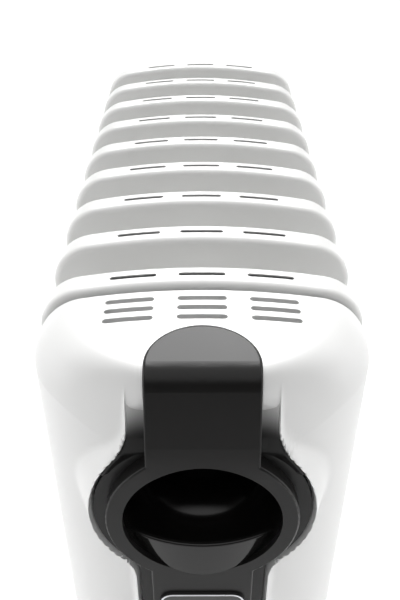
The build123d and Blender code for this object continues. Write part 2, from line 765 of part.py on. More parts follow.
def wire(points):
    """An insulated wire along straight runs with rounded corners."""
    with BuildPart() as tube:
        with BuildLine() as route:
            FilletPolyline(*points, radius=8)
        with BuildSketch(Plane(origin=route.line @ 0, z_dir=route.line % 0)):
            Circle(WIRE_RADIUS)
        sweep()
    return tube.part


def make_wiring():
    """Wires from the terminal block to the switches, the thermostat and the elements."""
    runs = (
        ((22, WIRE_START, 225), (22, 37, 260), (8, 50, 290), (7, 50, 322)),
        ((12, WIRE_START, 226), (27, 34, 300), (27, 42, 380), (9, 44, 405)),
        ((26, WIRE_START, 216), (26, 44, 190), (16, 46, 150), (5.6, 38, 117)),
    )
    wires = []
    for side in (-1, 1):
        wires += [wire([(side * x, ahead(d), z) for x, d, z in run]) for run in runs]
    with BuildPart() as harness:
        add(wires)
    write(harness.part, "wiring_harness")


def make_gland():
    """Strain relief bush in the cover's floor, where the mains cord enters."""
    neck = WALL + 0.2
    stages = (
        (COVER_BOTTOM - 4, 4, 10.5),
        (COVER_BOTTOM, neck, 7.4),
        (COVER_BOTTOM + neck, 5, 9.5),
    )
    with BuildPart() as gland:
        for level, length, radius in stages:
            with BuildSketch(Plane.XY.offset(level)):
                with Locations(GLAND_PLACE):
                    Circle(radius)
            extrude(amount=length)
        chamfer(gland.edges().group_by(Axis.Z)[0], 1.2)
        with BuildSketch(Plane.XY.offset(COVER_BOTTOM - 4)):
            with Locations(GLAND_PLACE):
                Circle(CORD_BORE)
        extrude(amount=WALL + 9.2, mode=Mode.SUBTRACT)
    write(gland.part, "cable_gland")


def make_cover_screws():
    with BuildPart() as screws:
        with BuildSketch(Plane.XY.offset(COVER_BOTTOM)):
            with Locations(*SCREW_PLACES):
                Circle(4)
        extrude(amount=-2.4)
        fillet(screws.edges().group_by(Axis.Z)[0], 1.0)
        with BuildSketch(Plane.XY.offset(COVER_BOTTOM)):
            with Locations(*SCREW_PLACES):
                Circle(2)
        extrude(amount=8)
    write(screws.part, "cover_screws")


# ---------------------------------------------------------------- feet and castors
FEET = (("front", -FIN_PITCH / 2), ("rear", -(FIN_COUNT - 1.5) * FIN_PITCH))


def make_foot(name, distance):
    """A moulded bar, open underneath, the U-bolt that hangs it from the header, and two wing nuts."""
    y = ahead(distance)
    height = FOOT_HIGH - FOOT_LOW
    with BuildPart() as bar:
        with BuildSketch(Plane(origin=(0, y, FOOT_LOW))):
            SlotOverall(FOOT_WIDTH, FOOT_DEPTH)
        extrude(amount=height)
        fillet(bar.edges().group_by(Axis.Z)[-1], 5)
        with BuildSketch(Plane(origin=(0, y, FOOT_LOW))):
            SlotOverall(FOOT_WIDTH - 2 * FOOT_WALL, FOOT_DEPTH - 2 * FOOT_WALL)
        extrude(amount=height - FOOT_WALL, mode=Mode.SUBTRACT)
        with BuildSketch(Plane(origin=(0, y, FOOT_LOW))):
            with Locations((-CASTOR_X, 0), (CASTOR_X, 0)):
                Circle(STEM_RADIUS + 4)
        extrude(amount=height - 1)
        with BuildSketch(Plane(origin=(0, y, FOOT_LOW))):
            with Locations((-60, 0), (60, 0)):
                Rectangle(2, FOOT_DEPTH - 2)
        extrude(amount=height - 1)
        with BuildSketch(Plane(origin=(0, y, FOOT_LOW))):
            with Locations((-CASTOR_X, 0), (CASTOR_X, 0)):
                Circle(STEM_RADIUS + RUNNING_GAP)
        extrude(amount=14, mode=Mode.SUBTRACT)
        with BuildSketch(Plane(origin=(0, y, FOOT_LOW))):
            with Locations((-BOLT_X, 0), (BOLT_X, 0)):
                Circle(BOLT_RADIUS + 0.3)
        extrude(amount=height + 1, mode=Mode.SUBTRACT)
    write(bar.part, f"foot_bar_{name}")

    leg_foot = FOOT_LOW + 1
    with BuildPart() as bolt:
        with BuildLine() as route:
            rise = Line((-BOLT_X, y, leg_foot), (-BOLT_X, y, LOW_HEADER_Z))
            over = ThreePointArc(rise @ 1, (0, y, LOW_HEADER_Z + BOLT_X), (BOLT_X, y, LOW_HEADER_Z))
            Line(over @ 1, (BOLT_X, y, leg_foot))
        with BuildSketch(Plane(origin=(-BOLT_X, y, leg_foot))):
            Circle(BOLT_RADIUS)
        sweep()
    write(bolt.part, f"u_bolt_{name}")

    with BuildPart() as nuts:
        with BuildSketch(Plane(origin=(0, y, FOOT_HIGH - FOOT_WALL - 7))):
            with Locations((-BOLT_X, 0), (BOLT_X, 0)):
                Circle(5)
        extrude(amount=7)
        with BuildSketch(Plane(origin=(0, y, FOOT_HIGH - FOOT_WALL - 10))):
            with Locations((-BOLT_X, 0), (BOLT_X, 0)):
                SlotOverall(22, 2.4, rotation=90)
        extrude(amount=6)
        with BuildSketch(Plane(origin=(0, y, FOOT_HIGH - FOOT_WALL - 12))):
            with Locations((-BOLT_X, 0), (BOLT_X, 0)):
                Circle(BOLT_RADIUS + 0.1)
        extrude(amount=14, mode=Mode.SUBTRACT)
    write(nuts.part, f"wing_nuts_{name}")


def make_castor(name, x, distance):
    """A swivelling fork with its stem, one wheel behind the stem, and the axle pin."""
    y = ahead(distance)
    axle_y = y + CASTOR_TRAIL
    inner = WHEEL_WIDTH / 2 + 0.6
    outer = inner + 2.6
    crown_low = 2 * WHEEL_RADIUS + 1.4
    crown_high = FOOT_LOW - 0.5
    with BuildPart() as fork:
        with BuildSketch(Plane(origin=(x, y, crown_low))):
            Circle(12)
            with Locations((0, 6)):
                Rectangle(2 * outer, 20)
        extrude(amount=crown_high - crown_low)
        with BuildSketch(side_plane(x)):
            with BuildLine():
                Polyline(
                    (y - 8, crown_high),
                    (y + 16, crown_high),
                    (axle_y + 7, WHEEL_RADIUS),
                    (axle_y - 7, WHEEL_RADIUS),
                    (y - 8, crown_high),
                )
            make_face()
            with Locations((axle_y, WHEEL_RADIUS)):
                Circle(7)
        extrude(amount=outer, both=True)
        with BuildSketch(side_plane(x)):
            with Locations((axle_y, WHEEL_RADIUS)):
                Circle(WHEEL_RADIUS + 1.4)
            with Locations((y, 10)):
                Rectangle(80, 20 + 2 * WHEEL_RADIUS - 17.2)
        extrude(amount=inner, both=True, mode=Mode.SUBTRACT)
        with BuildSketch(side_plane(x)):
            with Locations((axle_y, WHEEL_RADIUS)):
                Circle(AXLE_RADIUS + 0.02)
        extrude(amount=outer + 1, both=True, mode=Mode.SUBTRACT)
        with BuildSketch(Plane(origin=(x, y, crown_high))):
            Circle(STEM_RADIUS)
        extrude(amount=13.5)
    write(fork.part, f"castor_fork_{name}")

    with BuildPart() as wheel:
        with BuildSketch(side_plane(x)):
            with Locations((axle_y, WHEEL_RADIUS)):
                Circle(WHEEL_RADIUS)
        extrude(amount=WHEEL_WIDTH / 2, both=True)
        fillet(wheel.edges().filter_by(GeomType.CIRCLE), 2.5)
        for side in (-1, 1):
            with BuildSketch(side_plane(x + side * WHEEL_WIDTH / 2)):
                with Locations((axle_y, WHEEL_RADIUS)):
                    Circle(WHEEL_RADIUS - 5.5)
                    Circle(7, mode=Mode.SUBTRACT)
            extrude(amount=-side * 5, mode=Mode.SUBTRACT)
        with BuildSketch(side_plane(x)):
            with Locations((axle_y, WHEEL_RADIUS)):
                Circle(AXLE_RADIUS + RUNNING_GAP)
        extrude(amount=WHEEL_WIDTH, both=True, mode=Mode.SUBTRACT)
    write(wheel.part, f"castor_wheel_{name}")

    with BuildPart() as pin:
        with BuildSketch(side_plane(x)):
            with Locations((axle_y, WHEEL_RADIUS)):
                Circle(AXLE_RADIUS)
        extrude(amount=outer + 0.4, both=True)
        chamfer(pin.edges().filter_by(GeomType.CIRCLE), 0.4)
    write(pin.part, f"castor_axle_{name}")


make_fins()
make_header_collars()
make_header_plugs()
make_cover()
make_panel()
make_grip_cup()
make_grip_lip()
make_name_plate()
make_thermostat()
make_switches()
make_winder()
make_bulkhead()
make_studs()
make_elements()
make_cutout()
make_terminals()
make_wiring()
make_gland()
make_cover_screws()
for foot_name, foot_distance in FEET:
    make_foot(foot_name, foot_distance)
    for side_name, side in (("left", -1), ("right", 1)):
        make_castor(f"{foot_name}_{side_name}", side * CASTOR_X, foot_distance)
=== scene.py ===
"""Looks for the oil filled radiator heater: enamel, moulded plastics, a finer housing and a studio."""

import json
import math

import bmesh
import bpy
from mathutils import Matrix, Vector


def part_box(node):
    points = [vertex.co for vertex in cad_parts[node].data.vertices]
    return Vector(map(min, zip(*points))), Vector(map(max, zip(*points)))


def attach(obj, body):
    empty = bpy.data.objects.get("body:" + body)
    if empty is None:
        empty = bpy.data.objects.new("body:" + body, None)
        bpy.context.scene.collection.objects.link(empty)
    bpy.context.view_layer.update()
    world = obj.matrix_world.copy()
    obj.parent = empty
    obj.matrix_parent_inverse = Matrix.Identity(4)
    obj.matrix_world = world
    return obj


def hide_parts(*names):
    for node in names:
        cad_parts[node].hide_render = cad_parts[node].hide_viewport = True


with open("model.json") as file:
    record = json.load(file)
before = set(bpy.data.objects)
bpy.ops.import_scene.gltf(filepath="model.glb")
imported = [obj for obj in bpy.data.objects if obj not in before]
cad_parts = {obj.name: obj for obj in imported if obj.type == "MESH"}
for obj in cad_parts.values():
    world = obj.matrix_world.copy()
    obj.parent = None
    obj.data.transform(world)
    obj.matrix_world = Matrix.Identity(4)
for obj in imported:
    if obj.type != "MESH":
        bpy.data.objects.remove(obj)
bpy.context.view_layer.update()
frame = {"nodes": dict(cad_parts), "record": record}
nodes = frame["nodes"]
scene = bpy.context.scene

# ---------------------------------------------------------------- driving places, in metres
FIN_LOW, FIN_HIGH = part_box("fin_2")
FIN_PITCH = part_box("fin_3")[0].y - FIN_LOW.y
FIN_TOP = FIN_HIGH.z
HALF_WIDTH = FIN_HIGH.x
FRONT_FIN_Y = (FIN_LOW.y + FIN_HIGH.y) / 2 - FIN_PITCH


def ahead(distance):
    """Y of a point that many metres ahead of the front fin's middle plane."""
    return FRONT_FIN_Y - distance


# ---------------------------------------------------------------- camera
CAMERA_AHEAD = 0.284
CAMERA_ABOVE = 0.18585
CAMERA_X = -0.0016
CAMERA_PITCH = 35.34
CAMERA_TURN = -0.13
CAMERA_LENS = 42.36
SENSOR_WIDTH = 36

camera = bpy.data.objects.new("camera", bpy.data.cameras.new("camera"))
scene.collection.objects.link(camera)
camera.location = (CAMERA_X, ahead(CAMERA_AHEAD), FIN_TOP + CAMERA_ABOVE)
camera.rotation_euler = (math.radians(90 - CAMERA_PITCH), 0, math.radians(CAMERA_TURN))
camera.data.lens = CAMERA_LENS
camera.data.sensor_width = SENSOR_WIDTH
camera.data.clip_start = 0.01
scene.camera = camera
scene.view_settings.view_transform = "Standard"


# ---------------------------------------------------------------- materials
NOISE_LOW, NOISE_HIGH = 0.3, 0.7
PANEL_BLACK = (0.0085, 0.0082, 0.008)
PANEL_ROUGHNESS = 0.31
PANEL_SPECULAR = 0.2


def principled(name, colour, roughness, **values):
    """A new material, with its node tree and its Principled shader."""
    material = bpy.data.materials.new(name)
    material.use_nodes = True
    tree = material.node_tree
    shader = tree.nodes["Principled BSDF"]
    shader.inputs["Base Color"].default_value = (*colour, 1)
    shader.inputs["Roughness"].default_value = roughness
    for key, value in values.items():
        shader.inputs[key.replace("_", " ")].default_value = value
    return material, tree, shader


def grain(tree, scale, detail=3.0):
    """Noise fixed to the object, with about that many bumps to a metre."""
    spot = tree.nodes.new("ShaderNodeTexCoord")
    noise = tree.nodes.new("ShaderNodeTexNoise")
    noise.inputs["Scale"].default_value = scale
    noise.inputs["Detail"].default_value = detail
    tree.links.new(spot.outputs["Object"], noise.inputs["Vector"])
    return noise.outputs["Fac"]


def spread(tree, factor, low, high):
    """The noise's usual range mapped to low..high."""
    ramp = tree.nodes.new("ShaderNodeMapRange")
    ramp.inputs["From Min"].default_value = NOISE_LOW
    ramp.inputs["From Max"].default_value = NOISE_HIGH
    ramp.inputs["To Min"].default_value = low
    ramp.inputs["To Max"].default_value = high
    tree.links.new(factor, ramp.inputs["Value"])
    return ramp.outputs["Result"]


def blend_colours(tree, factor, first, second):
    """A colour that drifts between two as the noise does."""
    ramp = tree.nodes.new("ShaderNodeValToRGB")
    ramp.color_ramp.elements[0].position = 0.35
    ramp.color_ramp.elements[0].color = (*first, 1)
    ramp.color_ramp.elements[1].position = 0.65
    ramp.color_ramp.elements[1].color = (*second, 1)
    tree.links.new(factor, ramp.inputs["Fac"])
    return ramp.outputs["Color"]


def bump(tree, shader, height, distance, strength):
    """Lets the noise tilt the shader's surface."""
    node = tree.nodes.new("ShaderNodeBump")
    node.inputs["Distance"].default_value = distance
    node.inputs["Strength"].default_value = strength
    tree.links.new(height, node.inputs["Height"])
    tree.links.new(node.outputs["Normal"], shader.inputs["Normal"])


def moulded(name, colour, roughness, grain_size=0.0006, depth=0.00002, vary=0.05, **values):
    """Moulded plastic: a fine texture, and a roughness that varies a little with handling."""
    material, tree, shader = principled(name, colour, roughness, **values)
    worn = spread(tree, grain(tree, 9.0), roughness - vary, roughness + vary)
    tree.links.new(worn, shader.inputs["Roughness"])
    bump(tree, shader, grain(tree, 1 / grain_size, 1.0), depth, 0.35)
    return material


def enamel(name, colour, second):
    """Stoved enamel on steel: faint orange peel and a very slight tone change over the sheet."""
    material, tree, shader = principled(name, colour, 0.32, Coat_Weight=0.15, Coat_Roughness=0.12)
    tone = blend_colours(tree, grain(tree, 6.0), colour, second)
    tree.links.new(tone, shader.inputs["Base Color"])
    tree.links.new(spread(tree, grain(tree, 22.0), 0.29, 0.38), shader.inputs["Roughness"])
    bump(tree, shader, grain(tree, 420.0, 2.0), 0.00003, 0.25)
    return material


def metal(name, colour, roughness):
    """Bare or plated metal with a mottled shine."""
    material, tree, shader = principled(name, colour, roughness, Metallic=1.0)
    mottled = spread(tree, grain(tree, 120.0), roughness - 0.08, roughness + 0.1)
    tree.links.new(mottled, shader.inputs["Roughness"])
    return material


def painted_shade_fade(name, low, high, dark, pale):
    """The panel's finish in a dark colour that pales upwards between two heights: the panel's black below,
    then painted shade and painted reflection of the black panel where the white housing rolls into the
    groove, paling to the housing's white.
    """
    material, tree, shader = principled(name, dark, PANEL_ROUGHNESS, Specular_IOR_Level=PANEL_SPECULAR)
    spot = tree.nodes.new("ShaderNodeTexCoord")
    parts = tree.nodes.new("ShaderNodeSeparateXYZ")
    tree.links.new(spot.outputs["Object"], parts.inputs["Vector"])
    height = tree.nodes.new("ShaderNodeMapRange")
    height.interpolation_type = "SMOOTHSTEP"
    height.inputs["From Min"].default_value = low
    height.inputs["From Max"].default_value = high
    tree.links.new(parts.outputs["Z"], height.inputs["Value"])
    ramp = tree.nodes.new("ShaderNodeValToRGB")
    ramp.color_ramp.elements[0].color = (*dark, 1)
    ramp.color_ramp.elements[1].color = (*pale, 1)
    tree.links.new(height.outputs["Result"], ramp.inputs["Fac"])
    tree.links.new(ramp.outputs["Color"], shader.inputs["Base Color"])
    return material


MATERIALS = {
    "white_paint": enamel("white_enamel", (0.670, 0.670, 0.662), (0.690, 0.690, 0.682)),
    "white_plastic": moulded("white_housing", (0.685, 0.685, 0.68), 0.33, 0.0009, 0.000012, 0.04),
    "panel_black": moulded(
        "charcoal_panel",
        PANEL_BLACK,
        PANEL_ROUGHNESS,
        0.0005,
        0.00001,
        0.04,
        Specular_IOR_Level=PANEL_SPECULAR,
    ),
    "gloss_black": moulded(
        "gloss_black",
        (0.008, 0.0077, 0.0075),
        0.14,
        0.002,
        0.000004,
        0.03,
        Specular_IOR_Level=0.3,
    ),
    "plate_black": moulded("badge_black", (0.018, 0.018, 0.018), 0.3, 0.0006, 0.00001, 0.04),
    "knob_black": moulded("knob_black", (0.024, 0.024, 0.025), 0.38, 0.0006, 0.00002),
    "rocker_amber": moulded("amber_rocker", (0.70, 0.16, 0.02), 0.2, 0.002, 0.000004, 0.03, Coat_Weight=0.4),
    "lens_amber": moulded("amber_lens", (0.85, 0.30, 0.05), 0.12, 0.002, 0.000004, 0.03, Coat_Weight=0.5),
    "dark_plastic": moulded("dark_plastic", (0.028, 0.028, 0.029), 0.48, 0.0007, 0.00003),
    "wheel_grey": moulded("wheel_grey", (0.05, 0.05, 0.052), 0.55, 0.0008, 0.00004),
    "zinc_steel": metal("zinc_plate", (0.62, 0.63, 0.65), 0.3),
    "element_sheath": metal("element_sheath", (0.36, 0.33, 0.30), 0.42),
    "gasket_rubber": moulded("gasket", (0.03, 0.03, 0.03), 0.7, 0.0008, 0.00004),
    "terminal_white": moulded("terminal_white", (0.72, 0.70, 0.64), 0.45),
    "wire_sleeve": moulded("wire_sleeve", (0.30, 0.05, 0.03), 0.5),
}

MARKING = moulded("printed_marks", (0.62, 0.62, 0.61), 0.5, 0.0006, 0.00001)
# painted shade: the flare goes from the panel's black to the housing's white upwards, painting the shaded
# groove beside the strap
FLARE_PAINTED_SHADE = painted_shade_fade("flare_painted_shade", 0.609, 0.627, PANEL_BLACK, (0.66, 0.66, 0.655))

record_slots = {row["node"]: row["material_slot"] for row in frame["record"]["subparts"]}
for node_name, node in nodes.items():
    node.data.materials.clear()
    node.data.materials.append(MATERIALS[record_slots[node_name]])

# ---------------------------------------------------------------- mesh helpers
MM = 0.001
TOP_MM = FIN_TOP / MM
HALF_MM = HALF_WIDTH / MM
FRONT_FIN_MM = FRONT_FIN_Y / MM
TOUCHING = 1e-7
SHEET_JOIN = 2e-5
FLARE_JOIN = 1e-6


def place(x, distance, z):
    """A point from millimetres across, ahead of the front fin and above the floor."""
    return x * MM, ahead(distance * MM), z * MM


def mesh_object(name, points, faces, material, smooth=True):
    """A new piece in the scene from points in metres."""
    mesh = bpy.data.meshes.new(name)
    mesh.from_pydata(points, [], faces)
    mesh.materials.append(material)
    mesh.polygons.foreach_set("use_smooth", [smooth] * len(mesh.polygons))
    piece = bpy.data.objects.new(name, mesh)
    scene.collection.objects.link(piece)
    return piece


def apply_modifiers(piece):
    """Replaces the piece's mesh by what its modifiers make of it."""
    bpy.context.view_layer.update()
    evaluated = piece.evaluated_get(bpy.context.evaluated_depsgraph_get())
    mesh = bpy.data.meshes.new_from_object(evaluated)
    piece.modifiers.clear()
    piece.data = mesh


def merge_close(piece, distance):
    """Joins points closer than a distance in metres, drops what collapses and turns the faces outwards."""
    work = bmesh.new()
    work.from_mesh(piece.data)
    bmesh.ops.remove_doubles(work, verts=work.verts, dist=distance)
    bmesh.ops.dissolve_degenerate(work, edges=work.edges, dist=distance / 10)
    bmesh.ops.recalc_face_normals(work, faces=work.faces)
    work.to_mesh(piece.data)
    work.free()


def mend_open_edges(piece):
    """Drops the faces round points where two open borders meet, so the sheet can be given a thickness."""
    work = bmesh.new()
    work.from_mesh(piece.data)
    while True:
        pinched = [v for v in work.verts if sum(edge.is_boundary for edge in v.link_edges) > 2]
        if not pinched:
            break
        doomed = {face for v in pinched for face in v.link_faces}
        bmesh.ops.delete(work, geom=list(doomed), context="FACES")
    work.to_mesh(piece.data)
    work.free()


def cut(piece, cutters):
    """Cuts closed shapes out of a piece and forgets them."""
    for cutter in cutters:
        modifier = piece.modifiers.new("cut", "BOOLEAN")
        modifier.operation = "DIFFERENCE"
        modifier.solver = "MANIFOLD"
        modifier.object = cutter
    apply_modifiers(piece)
    for cutter in cutters:
        bpy.data.objects.remove(cutter)


def prism(name, outline, low, high, direction, material=None):
    """A closed prism in mm over (x, distance) points for direction Z, or (x, z) points for Y."""
    count = len(outline)
    if direction == "Z":
        rings = [[place(x, distance, level) for x, distance in outline] for level in (low, high)]
    else:
        rings = [[place(x, level, z) for x, z in outline] for level in (low, high)]
    faces = [tuple(range(count)), tuple(range(2 * count - 1, count - 1, -1))]
    faces += [(n, (n + 1) % count, count + (n + 1) % count, count + n) for n in range(count)]
    piece = mesh_object(name, rings[0] + rings[1], faces, material, smooth=False)
    merge_close(piece, TOUCHING)
    return piece


def stadium(x, y, length, width, steps=10):
    """Points round a slot with half-round ends, lying along x."""
    radius = width / 2
    reach = length / 2 - radius
    points = []
    for end, start in ((1, -90), (-1, 90)):
        for step in range(steps + 1):
            turn = math.radians(start + 180 * step / steps)
            points.append((x + end * reach + radius * math.cos(turn), y + radius * math.sin(turn)))
    return points


def circle(x, y, radius, steps=48):
    """Points round a circle."""
    turns = [2 * math.pi * step / steps for step in range(steps)]
    return [(x + radius * math.cos(turn), y + radius * math.sin(turn)) for turn in turns]


def clamp(value, low=0.0, high=1.0):
    return max(low, min(high, value))


def smoothstep(low, high, value):
    """0 below low, 1 above high, and an even ease between them."""
    share = clamp((value - low) / (high - low))
    return share * share * (3 - 2 * share)


def smooth_min(a, b, reach):
    """The smaller value, with a rounded change from one to the other."""
    share = clamp(0.5 + 0.5 * (b - a) / reach)
    return b + (a - b) * share - reach * share * (1 - share)


# ---------------------------------------------------------------- front cover, in millimetres
COVER_REAR = 14.0
NOSE_START = 18.0
NOSE_DEPTH = 64.0
COVER_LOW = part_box("front_cover")[0].z / MM
CROWN_RADIUS = 350.0
WALL = 2.4

# the black panel's outline
STRAP_HALF = 24.0
PANEL_END_Z = 130.0
RING_Z = 565.0
RING_RADIUS = 43.0
DIAL_Z = 395.0
DIAL_RADIUS = 32.0
OUTLINE_BLEND = 8.0

# the strap's slope under the cap
SLOPE_FOOT_DROP = 38.0
SLOPE_RUN = 14.0 / 38.3

# the cap, which rolls over to a crease
CREASE_AT_SIDES = 29.5
CREASE_MORE_AT_NOSE = 9.0
CREASE_CHANGE = (0.35, 0.9)
ROLL_AT_SIDES = 0.70
ROLL_LATER_AT_NOSE = 0.12
ROLL_END = 0.965
ROLL_POWER = 2.1

# the raised rim round the panel, and the groove inside it
RIM_FRONT = 81.6
RIM_AWAY = 8.0
RIM_FALL = 2.6
RIM_BLEND = 3.4
GROOVE_FRONT = 74.0
GROOVE_RISE = 10.0
GROOVE_RISE_Z = (610, 630)
GROOVE_AWAY = 7.6
GROOVE_STEEPNESS = 5.0
GROOVE_BLEND = 2.0
SHAPED_BELOW_TOP = (8, 16)
SHAPED_AHEAD = (50, 62)

# how closely the sheet's columns and rows stand
NEAR_STEPS = (3.4, 4.4, 5.2, 5.9, 6.5, 7.0, 7.4, 7.7, 8.0, 8.3, 8.7, 9.2, 9.9, 10.8, 12.0, 13.4, 15.0)
SIDE_COLUMNS = 34
STRAP_COLUMNS = 9
FOOT_COLUMNS = 3
CAP_ROWS = 44
CAP_CROWDING = 1.9
WALL_BANDS = (
    (0, 0.04, 0.006),
    (0.04, 0.1, 0.0035),
    (0.1, 0.48, 0.012),
    (0.48, 0.64, 0.0035),
    (0.64, 0.78, 0.008),
    (0.78, 1.0, 0.0025),
)
WALL_HEIGHT = 520.0
FOOT_GAP = 6.0

# where the wall is thinned, so that its inside stays hidden
THIN_SHARE = 0.16
THIN_AHEAD = 54
THIN_BELOW_TOP = 6
THIN_AWAY = (15, 24)

# what is cut out
SLOT_PITCH = 33.2
SLOT_ROWS = (20.1, 27.2, 34.3)
SLOT_LENGTH = 22.7
SLOT_WIDTH = 3.3
SLOT_DEPTH = 14.0
GLAND_HOLE_RADIUS = 7.6
FLOOR_CUT = (-2.0, 4.0)
BED_TIP = 65.0
BED_FRONT = 110.0
BED_CLEARANCE = 0.35
BED_DEPTH = 44.0
BED_STEPS = 40
SLOT_ABOVE = 3.0
BED_ABOVE = 6.0
SHARP_ANGLE = 38


def crown(x):
    """How far the fins' crowned top has dropped at x."""
    return CROWN_RADIUS - math.sqrt(CROWN_RADIUS**2 - x * x)


def roll_curve(share):
    """A superellipse's drop: 0 at share 0, growing ever steeper towards 1."""
    return 1 - (1 - share**ROLL_POWER) ** (1 / ROLL_POWER)


def cap_drop(x, distance):
    """How far the cap lies below the fins' top: a crown that rolls over towards the nose's outline."""
    forward = max(0.0, (distance - NOSE_START) / NOSE_DEPTH)
    across = x / HALF_MM
    radius = math.hypot(across, forward)
    if radius < 1e-6:
        return 0.0
    frontness = (forward / radius) ** 2
    crease = CREASE_AT_SIDES + CREASE_MORE_AT_NOSE * smoothstep(*CREASE_CHANGE, frontness)
    start = ROLL_AT_SIDES + ROLL_LATER_AT_NOSE * frontness
    share = clamp((radius - start) / (1 - start)) * ROLL_END
    roll = roll_curve(share) / roll_curve(ROLL_END)
    edge_x = clamp(x / radius, -HALF_MM, HALF_MM)
    return crown(x) + (crease - crown(edge_x)) * roll


def from_keyhole(x, z):
    """Signed distance from the black panel's outline, seen from the front."""
    strap = abs(x) - STRAP_HALF if z > PANEL_END_Z else math.hypot(x, z - PANEL_END_Z) - STRAP_HALF
    ring = math.hypot(x, z - RING_Z) - RING_RADIUS
    dial = math.hypot(x, z - DIAL_Z) - DIAL_RADIUS
    return smooth_min(smooth_min(strap, ring, OUTLINE_BLEND), dial, OUTLINE_BLEND)


def keyhole_half(z):
    """Half the panel's width at a height, or nothing below its round end."""
    if z < PANEL_END_Z:
        half = math.sqrt(max(0.0, STRAP_HALF**2 - (z - PANEL_END_Z) ** 2))
    else:
        half = STRAP_HALF
    for centre, radius in ((RING_Z, RING_RADIUS), (DIAL_Z, DIAL_RADIUS)):
        half = max(half, math.sqrt(max(0.0, radius**2 - (z - centre) ** 2)))
    return half


def nose(x):
    """How far ahead the nose's upright face stands at x."""
    return NOSE_START + NOSE_DEPTH * math.sqrt(max(0.0, 1 - (x / HALF_MM) ** 2))


def slope_back(z):
    """How far the strap's slope has fallen back at a height."""
    return max(0.0, z - (TOP_MM - SLOPE_FOOT_DROP)) * SLOPE_RUN


def cover_point(x, distance, z):
    """A point of the cover: pushed forward by the rim round the panel, and sunk by the groove inside it."""
    away = from_keyhole(x, z)
    rim = RIM_FRONT - abs(away - RIM_AWAY) * RIM_FALL - slope_back(z)
    raised = distance
    if rim > distance - RIM_BLEND:
        raised = -smooth_min(-distance, -rim, RIM_BLEND)
    bottom = GROOVE_FRONT + GROOVE_RISE * smoothstep(*GROOVE_RISE_Z, z)
    groove = max(bottom, RIM_FRONT + (away - GROOVE_AWAY) * GROOVE_STEEPNESS) - slope_back(z)
    if groove < raised + GROOVE_BLEND:
        raised = smooth_min(raised, groove, GROOVE_BLEND)
    share = smoothstep(*SHAPED_BELOW_TOP, TOP_MM - z) * smoothstep(*SHAPED_AHEAD, distance)
    return place(x, distance + (raised - distance) * share, z)


def cap_point(x, distance):
    """A point on top of the cap."""
    return cover_point(x, distance, TOP_MM - cap_drop(x, distance))


def towards_rear(start, depth):
    """A distance that share of the way from start to the cover's rear edge."""
    return start + (COVER_REAR - start) * depth


def column_places(half):
    """Columns of one side of the cover, close together beside the panel and towards the outer edge."""
    inner = [half + step for step in NEAR_STEPS]
    rest = HALF_MM - inner[-1]
    turns = [math.pi / 2 * n / SIDE_COLUMNS for n in range(1, SIDE_COLUMNS + 1)]
    return inner + [inner[-1] + rest * math.sin(turn) for turn in turns]


def spaced(bands):
    """Values from (start, end, step) stretches, without repeats."""
    values = []
    for start, end, step in bands:
        count = max(1, round((end - start) / step))
        values += [start + (end - start) * n / count for n in range(count)]
    return values + [bands[-1][1]]


def sheet(columns, points, faces, flip=False):
    """Adds quads between neighbouring columns."""
    for left, right in zip(columns, columns[1:]):
        start = len(points)
        count = min(len(left), len(right))
        points += left[:count] + right[:count]
        for n in range(count - 1):
            quad = (start + n, start + count + n, start + count + n + 1, start + n + 1)
            faces.append(quad[::-1] if flip else quad)


def side_columns(side, rows, depths):
    """Points of one side, column by column: up the wall to the crease, then back over the cap."""
    columns = []
    top_places = column_places(STRAP_HALF)
    for index, top_x in enumerate(top_places):
        crease_z = TOP_MM - cap_drop(top_x, nose(top_x))
        column = []
        for row in rows:
            z = COVER_LOW + (crease_z - COVER_LOW) * row
            x = column_places(keyhole_half(z))[index]
            column.append(cover_point(side * x, nose(x), z))
        column += [cap_point(side * top_x, towards_rear(nose(top_x), depth)) for depth in depths]
        columns.append(column)
    crease_z = TOP_MM - cap_drop(HALF_MM, NOSE_START)
    heights = [COVER_LOW + (crease_z - COVER_LOW) * row for row in rows]
    for depth in depths:
        distance = towards_rear(NOSE_START, depth)
        columns.append([place(side * HALF_MM, distance, z) for z in heights])
    return columns


def cap_columns(depths):
    """The cap's middle, behind the strap."""
    inner = column_places(STRAP_HALF)[0]
    columns = []
    for n in range(-STRAP_COLUMNS, STRAP_COLUMNS + 1):
        x = inner * n / STRAP_COLUMNS
        spots = [towards_rear(nose(x), depth) for depth in depths]
        columns.append([cap_point(x, distance) for distance in [nose(x)] + spots])
    return columns


def foot_columns(rows, beside):
    """The wall's middle, below the panel's round end, at the heights of the column beside it."""
    lowest = PANEL_END_Z - STRAP_HALF - FOOT_GAP
    count = len([row for row in rows if COVER_LOW + WALL_HEIGHT * row < lowest])
    heights = [beside[n][2] / MM for n in range(count)]
    steps = range(-FOOT_COLUMNS, FOOT_COLUMNS + 1)
    places = [NEAR_STEPS[0] * n / FOOT_COLUMNS for n in steps]
    return [[cover_point(x, nose(x), z) for z in heights] for x in places]


def cover_sheet():
    """The cover's outside as one sheet, with a floor that runs back from its lowest row."""
    rows = spaced(WALL_BANDS)
    depths = [(n / CAP_ROWS) ** CAP_CROWDING for n in range(1, CAP_ROWS + 1)]
    left = side_columns(-1, rows, depths)
    right = side_columns(1, rows, depths)
    foot = foot_columns(rows, right[0])
    low_edge = [column[0] for column in left[::-1] + foot[1:-1] + right]
    floor_edge = [(x, ahead(COVER_REAR * MM), z) for x, y, z in low_edge]
    points, faces = [], []
    sheet(left, points, faces, flip=True)
    sheet(right, points, faces)
    sheet(cap_columns(depths), points, faces)
    sheet(foot, points, faces)
    sheet([list(pair) for pair in zip(floor_edge, low_edge)], points, faces)
    cover = mesh_object("front_cover_shell", points, faces, MATERIALS["white_plastic"])
    merge_close(cover, SHEET_JOIN)
    mend_open_edges(cover)
    return cover


